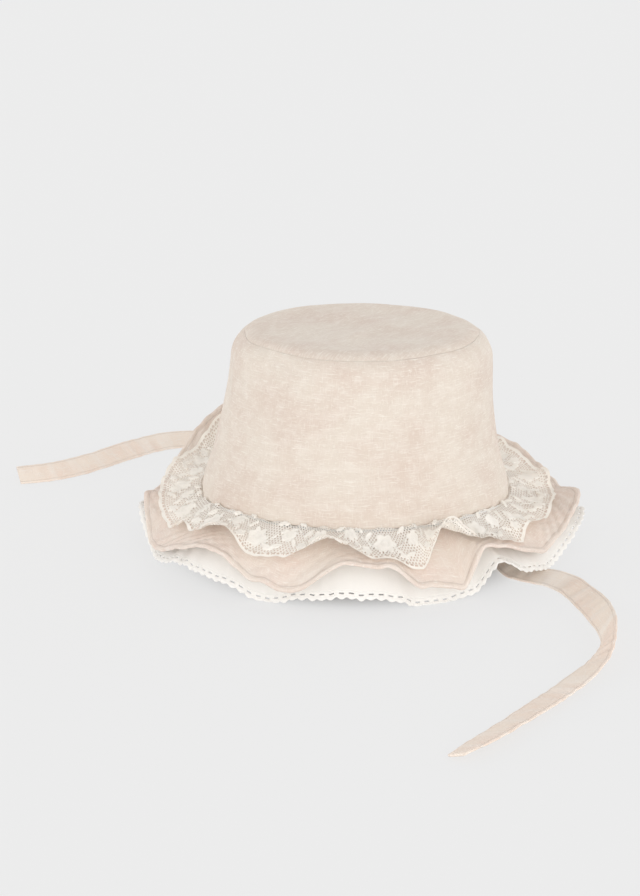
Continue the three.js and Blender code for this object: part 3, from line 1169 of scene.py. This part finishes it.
@dataclass
class LaceRuffle(Ruffle):
    """The lace: one layer of real net, with flowers, leaves and a scalloped edge worked in it.

    The edge's whole border is centred border_place in from the edge, with a row of eyelets past it.
    """

    thickness: float = 0.0
    rows: int = 60
    columns: int = 1620
    crowding: float = 1.0
    repeats: int = 18
    scallops: int = 54
    scallop_depth: float = 0.6
    scallop_middle: float = 0.75
    border_place: float = 1.2
    border_half: float = 1.4
    eyelet_place: float = 2.3
    eyelet_half: float = 0.5
    stem_half: float = 0.42
    stem_swing: float = 0.22
    relief: float = 0.45
    relief_zone: Zone = (-0.25, 0.5)
    rim_relief: float = 0.2
    rim_width: float = 0.35
    motifs: tuple[Flower | Leaf, ...] = (
        Flower(0.24, 0.56, 6.4, 6),
        Flower(0.71, 0.40, 4.6, 5),
        Flower(0.98, 0.74, 3.0, 5),
        Leaf(0.46, 0.74, 3.9, 1.5, 25.0),
        Leaf(0.55, 0.18, 3.3, 1.3, -30.0),
        Leaf(0.86, 0.15, 3.3, 1.3, 35.0),
        Leaf(0.02, 0.34, 3.6, 1.4, -55.0),
        Leaf(0.60, 0.70, 3.2, 1.3, -20.0),
        Leaf(0.83, 0.62, 3.0, 1.2, 60.0),
    )

    def worked(self, along: Array, across: Array) -> Array:
        """How deep a spot is inside the worked parts: motifs, a waving stem and the edge's border.

        Args:
            along: distance along the lace of each column, and of the way back.
            across: distance from the seam, rows by columns. Its last row is the edge.

        Returns:
            Distances inside the nearest part, rows by columns; negative is net.
        """
        width = across[-1]
        period = along[-1] / self.repeats
        phase = np.mod(along[:-1], period)
        swing = 0.5 + self.stem_swing * np.sin(2 * np.pi * along[:-1] / period)
        stem = self.stem_half - np.abs(across - width * swing)
        border = self.border_half - np.abs(width - self.border_place - across)
        deepest = np.maximum(stem, border)
        for motif in self.motifs:
            u = np.mod(phase - motif.along * period + period / 2, period) - period / 2
            deepest = np.maximum(deepest, motif.inside(u, across - motif.across * width))
        return deepest

    def cloth_cells(self, depth: Array, to_edge: Array) -> Array:
        """Which cells of the grid are cloth.

        A hole in the net is two cells square. There is one every four cells along and every three
        across, and each second band is shifted by two. Worked parts have no such holes. An eyelet is
        four cells of every six in its row. The first row is whole.

        Args:
            depth: inside the worked parts.
            to_edge: length of lace up to the edge.

        Returns:
            True for cloth, rows - 1 by columns.
        """
        pairs = depth + np.roll(depth, -1, 1)
        row, column = np.indices(pairs[1:].shape)
        hole = ((column + 2 * (row // 3)) % 4 < 2) & (row % 3 < 2)
        eyelet = (np.abs(to_edge[:-1] - self.eyelet_place) < self.eyelet_half) & (column % 6 < 4)
        net = pairs[:-1] + pairs[1:] < 0
        keep = ~(net & hole) & ~eyelet
        keep[0] = True
        return keep

    def build(self, material: Material) -> Object:
        """Makes the net as one layer of cells, in which the motifs and their rims stand up a little.

        Args:
            material: of the lace.

        Returns:
            The piece.
        """
        azimuth, along = self.azimuths(self.columns)
        scallop = np.abs(np.sin(np.pi * self.scallops * np.arange(self.columns) / self.columns))
        swing = self.scallop_depth * (scallop - self.scallop_middle)
        reach = self.folds.column("reach", azimuth) + swing
        middle, across = self.layer(azimuth, reach)
        depth = self.worked(along, across)
        rim = self.rim_relief * bell(depth - self.rim_width, self.rim_width)
        rise = self.relief * rising(depth, self.relief_zone) + rim
        points = middle - cloth_normals(middle) * rise[..., None]
        keep = self.cloth_cells(depth, across[-1] - across)
        r, c = cell_corners(self.rows, self.columns, keep)
        quads = r * self.columns + c % self.columns
        corners = np.stack([along[c], across[r, c % self.columns]], -1)
        skin = Skin(points.reshape(-1, 3), quads[:, ::-1].tolist(), corners[:, ::-1])
        piece = skin.to_object(self.name, material, self.node)
        return piece


@dataclass
class PicotEdging:
    """The crocheted-look edging of the cotton layer: a band with ladder holes and small scallops.

    Rows are distances from the tips of the picots. Each pitch has some cells, of which the first few
    are left out in the hole row. A picot is right below each hole, and a thin cord above it.
    """

    ruffle: Ruffle
    name: str = "picot_edging"
    pitch: float = 4.6
    cells: int = 12
    hole_cells: int = 6
    thickness: float = 0.7
    picot: float = 1.0
    picot_power: float = 1.5
    least_lobe: float = 0.1
    cord_place: float = 1.4
    cord_swell: float = 0.1
    cord_width: float = 0.3
    edge_share: float = 0.6
    edge_width: float = 0.8
    hole_row: int = 3
    rows: tuple[float, ...] = (4.4, 3.9, 3.4, 2.95, 2.4, 2.1, 1.8, 1.4, 1.0, 0.75, 0.5, 0.25, 0.0)

    def build(self, material: Material) -> Object:
        """Makes the edging on a grid whose columns are even along the cloth's edge.

        Between picots the last rows draw back as a sine falls off, and always keep a tenth of their
        way out, so that no two rows meet.

        Args:
            material: of the cotton.

        Returns:
            The piece.
        """
        columns = round(self.ruffle.edge_line()[1][-1] / self.pitch) * self.cells
        azimuth, along = self.ruffle.azimuths(columns)
        cell = np.arange(columns) % self.cells
        wave = np.abs(np.sin(np.pi * (cell / self.cells + 0.25))) ** self.picot_power
        lobe = self.least_lobe + (1 - self.least_lobe) * wave
        out = np.array(self.rows)[:, None]
        back = np.where(out < self.picot, self.picot - (self.picot - out) * lobe, out)
        middle = self.ruffle.middle(self.ruffle.edge_radius(azimuth, back), azimuth)
        half = self.thickness / 2 + self.cord_swell * bell(back - self.cord_place, self.cord_width)
        thinning = (1 - self.edge_share) * (1 - eased(back / self.edge_width))
        under, over = sides_of(middle, half * (1 - thinning))
        keep = np.ones((len(self.rows) - 1, columns), bool)
        keep[self.hole_row] = cell >= self.hole_cells
        skin = closed_shell(under, over, along, back, keep)
        return skin.to_object(self.name, material, self.ruffle.node, replaces=False)


# Scene


@dataclass(frozen=True)
class Studio:
    """Pale floor, soft light all round with a little more from the front, and the camera."""

    camera_place: tuple[float, float, float] = (0.0, -960.0, 340.0)
    pitch: float = 16.814
    yaw: float = 1.0325
    focal_pixels: float = 2053.0
    frame_height: float = 896.0
    sensor: float = 36.0
    clip: tuple[float, float] = (0.05, 200.0)
    floor_size: float = 60.0
    floor_drop: float = 0.1
    floor_colour: Colour = (0.84, 0.84, 0.84)
    floor_glow: float = 0.78
    floor_strength: float = 1.02
    shade_start: float = 94.0
    shade_full: float = 60.0
    sky: float = 0.6
    horizon: float = 1.6
    sun: float = 0.63
    sun_softness: float = 60.0
    sun_elevation: float = 20.0
    sun_azimuth: float = 10.0

    def build(self) -> None:
        """Makes the camera first, then the floor, the sky and the sun."""
        self.make_camera()
        self.make_floor()
        self.make_light()
        bpy.context.scene.view_settings.view_transform = "Standard"

    def make_camera(self) -> None:
        """Places the camera; its long side is the photograph's height."""
        data = bpy.data.cameras.new("camera")
        data.sensor_fit = "VERTICAL"
        data.sensor_width = data.sensor_height = self.sensor
        data.lens = self.focal_pixels * self.sensor / self.frame_height
        data.clip_start, data.clip_end = self.clip
        camera = place_object("camera", data)
        camera.location = (np.array(self.camera_place) + CROWN_AXIS) * METRES
        camera.rotation_euler = (math.radians(90 - self.pitch), 0, math.radians(self.yaw))
        bpy.context.scene.camera = camera

    def make_floor(self) -> None:
        """Makes a wide pale floor just under the lowest folds, part matt and part glowing.

        The glow keeps shadows pale. It fades out under the hat, where no light falls on the floor:
        a smooth step of the distance from the crown's axis, between the two shade distances.
        """
        half = self.floor_size / 2
        corners = [(-half, -half, 0), (half, -half, 0), (half, half, 0), (-half, half, 0)]
        mesh = bpy.data.meshes.new("floor")
        mesh.from_pydata(corners, [], [(0, 1, 2, 3)])
        material = bpy.data.materials.new("studio_floor")
        board = NodeBoard(material)
        colour = (*self.floor_colour, 1)
        matt = board.add("BsdfDiffuse", {"Color": colour})
        glow = board.add("Emission", {"Color": colour, "Strength": self.floor_strength})
        place = board.add("TexCoord").outputs["Object"]
        axis = tuple(CROWN_AXIS * METRES)
        way = board.add("VectorMath", {0: place, 1: axis}, operation="DISTANCE")
        reach = {
            "Value": way.outputs["Value"],
            "From Min": self.shade_full * METRES,
            "From Max": self.shade_start * METRES,
            "To Max": self.floor_glow,
        }
        share = board.add("MapRange", reach, interpolation_type="SMOOTHSTEP")
        both = {0: share.outputs[0], 1: matt.outputs[0], 2: glow.outputs[0]}
        shader = board.add("MixShader", both)
        board.add("OutputMaterial", {"Surface": shader.outputs[0]})
        mesh.materials.append(material)
        floor = place_object("floor", mesh)
        floor.location.z = -self.floor_drop * METRES

    def make_light(self) -> None:
        """Lights the scene as a pale tent does, with one very soft sun from the front right.

        The sky's strength is the same all round and rises towards the horizon with the square of
        one less the direction's height.
        """
        world = bpy.data.worlds.new("studio")
        board = NodeBoard(world)
        way = board.add("SeparateXYZ", {0: board.add("TexCoord").outputs["Generated"]})
        low = board.math("SUBTRACT", 1.0, board.math("ABSOLUTE", way.outputs[2]))
        glow = board.math("MULTIPLY_ADD", board.math("MULTIPLY", low, low), self.horizon, self.sky)
        sky = board.add("Background", {"Color": (1, 1, 1, 1), "Strength": glow})
        board.add("OutputWorld", {"Surface": sky.outputs[0]})
        bpy.context.scene.world = world
        lamp = bpy.data.lights.new("sun", "SUN")
        lamp.energy = self.sun
        lamp.angle = math.radians(self.sun_softness)
        tilt = math.radians(90 - self.sun_elevation)
        place_object("sun", lamp).rotation_euler = (tilt, 0, math.radians(self.sun_azimuth))


# Ties


@dataclass
class Tie:
    """A flat linen ribbon laid along a route.

    Each row of the route is x, y, the height of the lower edge and the roll: 0 lies flat and 90
    stands on its edge. Taper is the share of the width that is gone at the free end. The creases
    fade out over the calm length before it.
    """

    name: str
    route: tuple[tuple[float, float, float, float], ...]
    width: float = 13.0
    thickness: float = 1.4
    steps: int = 420
    across: int = 14
    roll_span: int = 20
    taper: float = 0.0
    taper_length: float = 16.0
    crease_height: float = 0.3
    calm_length: float = 20.0
    edge_thinning: float = 0.5
    edge_power: int = 6
    path_step: int = 6

    def centres(self) -> tuple[Array, Array]:
        """The middle of the ribbon: a curve through the route, and the roll, smoothed along it.

        Returns:
            The points, and the roll at each of them in degrees.
        """
        rows = np.array(self.route, float)
        tip = np.radians(np.abs(rows[:, 3]))
        height = rows[:, 2] + self.width / 2 * np.sin(tip) + self.thickness / 2 * np.cos(tip)
        knots = np.stack([rows[:, 0], rows[:, 1], height], -1)
        part = np.linspace(0, 1, self.steps)
        roll = np.interp(part * (len(rows) - 1), np.arange(len(rows)), rows[:, 3])
        kernel = np.hanning(2 * self.roll_span + 1)
        roll = np.pad(roll, self.roll_span, mode="edge")
        return curve_through(knots, part), np.convolve(roll, kernel / kernel.sum(), mode="valid")

    def section(self) -> tuple[Array, Array]:
        """A thin section with rounded edges, as one ring of points.

        Returns:
            For each point its place across, from -1 to 1, and its height, which thins to the edges.
        """
        spread = np.cos(np.linspace(0, np.pi, self.across))
        place = np.concatenate([spread, spread[-2:0:-1]])
        sign = np.concatenate([np.ones(self.across - 1), [0.0], -np.ones(self.across - 2)])
        sign[0] = 0.0
        thinning = self.edge_thinning * np.abs(place) ** self.edge_power
        return place, sign * self.thickness / 2 * (1 - thinning)

    def surface(self, centre: Array, roll: Array) -> tuple[Array, Array]:
        """The section swept along the route, with a wobbling width and fine cross creases.

        Args:
            centre: the centreline.
            roll: at each of its points.

        Returns:
            The rings of points, and the place across of each point.
        """
        along = np.gradient(centre, axis=0)
        along /= np.linalg.norm(along, axis=1, keepdims=True)
        level = np.cross([0.0, 0.0, 1.0], along)
        level /= np.linalg.norm(level, axis=1, keepdims=True)
        turn = -np.radians(roll)[:, None]
        side = level * np.cos(turn) + np.cross(along, level) * np.sin(turn)
        face = np.cross(along, side)
        place, height = self.section()
        s = running_length(centre)[:, None]
        to_end = s[-1] - s
        half = self.width / 2 * (1 - self.taper * (1 - eased(to_end / self.taper_length)))
        wobble = 1 + 0.025 * np.sin(s / 5.3 + 1.2 * np.sin(s / 19)) * np.sin(s / 13 + 0.4)
        fading = (0.3 + 0.7 * np.sin(s / 13.1 + 0.9) ** 2) * eased(to_end / self.calm_length)
        crease = self.crease_height * np.sin(s / 1.5 + 2.6 * np.sin(s / 9)) * fading
        u = half * place * wobble
        v = height + crease * (1 - 0.4 * place**2)
        points = centre[:, None] + side[:, None] * u[..., None] + face[:, None] * v[..., None]
        points[..., 2] = np.maximum(points[..., 2], 0)
        return points, u

    def build(self, material: Material) -> Object:
        """Makes the ribbon, closed at both ends.

        Args:
            material: of the cloth.

        Returns:
            The piece.
        """
        centre, roll = self.centres()
        length = running_length(centre)
        points, u = self.surface(centre, roll)
        ring = u.shape[1]
        last = self.steps - 1
        r, c = cell_corners(self.steps, ring)
        quads = r * ring + c % ring
        ends = [list(range(ring))[::-1], list(range(last * ring, self.steps * ring))]
        spots = np.stack([length[r], u[r, c % ring]], -1).reshape(-1, 2)
        start_spots = np.stack([np.zeros(ring), u[0][::-1]], -1)
        end_spots = np.stack([np.full(ring, length[-1]), u[-1]], -1)
        corners = np.concatenate([spots, start_spots, end_spots])
        skin = Skin(points.reshape(-1, 3), quads.tolist() + ends, corners)
        ribbon = skin.to_object(self.name + "_ribbon", material, self.name)
        return ribbon


LEFT_TIE = Tie(
    "tie_left",
    (
        (-71.4, 3, 21.5, 90), (-69.9, 15, 15, 88), (-67.5, 29, 7.5, 75), (-63, 45, 1.5, 50),
        (-59, 66, 0, 25), (-57.5, 90, 0, 12), (-59, 113, 0, 14), (-64, 135, 0, 22),
        (-73, 153.5, 0, 28), (-85, 165, 0, 31), (-98, 168, 0, 31), (-111, 162.5, 0, 31),
        (-127, 146.5, 0, 31), (-148.6, 119.1, 0, 31), (-165, 105, 0, 31), (-182.5, 98.4, 0, 29),
    ),
)

RIGHT_TIE = Tie(
    "tie_right",
    (
        (71.4, 5, 21.5, -90), (71, -7, 15.5, -88), (70.3, -19, 8.5, -75), (71.5, -31, 3, -45),
        (75.5, -41, 0.4, -20), (84, -47.5, 0, -14), (92, -53, 0, -18), (98.5, -60.5, 0, -20),
        (105.1, -79.4, 0, -26), (109.7, -105, 0, -45), (110.2, -130, 0, -68), (103.5, -153, 0, -30),
        (95, -167.5, 0, -14), (86, -182, 0, -12), (71, -203.5, 0, -13), (54.8, -226.5, 0, -18),
        (39, -246.5, 0, -20),
    ),
    taper=0.35,
)


def main() -> None:
    """Builds the scene: camera and ties first, then the crown and the brim's layers."""
    logging.basicConfig(level=logging.INFO, format="%(message)s")
    Studio().build()
    shop = ClothShop()
    tie_cloth, crown_cloth = shop.material(TIE_LINEN), shop.material(CROWN_LINEN)
    linen_cloth, white_cloth = shop.material(BRIM_LINEN), shop.material(WHITE_COTTON)
    crown = Crown()
    linen = Ruffle("linen_ruffle", "brim_ruffle", LINEN_FOLDS, BRIM.linen, 1.1, 46, hem=2.9)
    cotton = Ruffle("cotton_ruffle", "picot_ruffle", COTTON_FOLDS, BRIM.cotton, 0.9, 30, stop_short=4.2)
    lace = LaceRuffle("lace_net", "lace_ruffle", LACE_FOLDS, BRIM.lace)
    pieces = [tie.build(tie_cloth) for tie in (LEFT_TIE, RIGHT_TIE)]
    pieces += [crown.build_side(crown_cloth), crown.build_tip(crown_cloth), linen.build(linen_cloth)]
    cotton.edging = (PicotEdging(cotton).build(white_cloth),)
    pieces += [*cotton.edging, cotton.build(white_cloth), lace.build(shop.material(IVORY_LACE))]
    for piece in pieces:
        LOG.info("%s: %d faces", piece.name, len(piece.data.polygons))


if __name__ == "__main__":
    main()
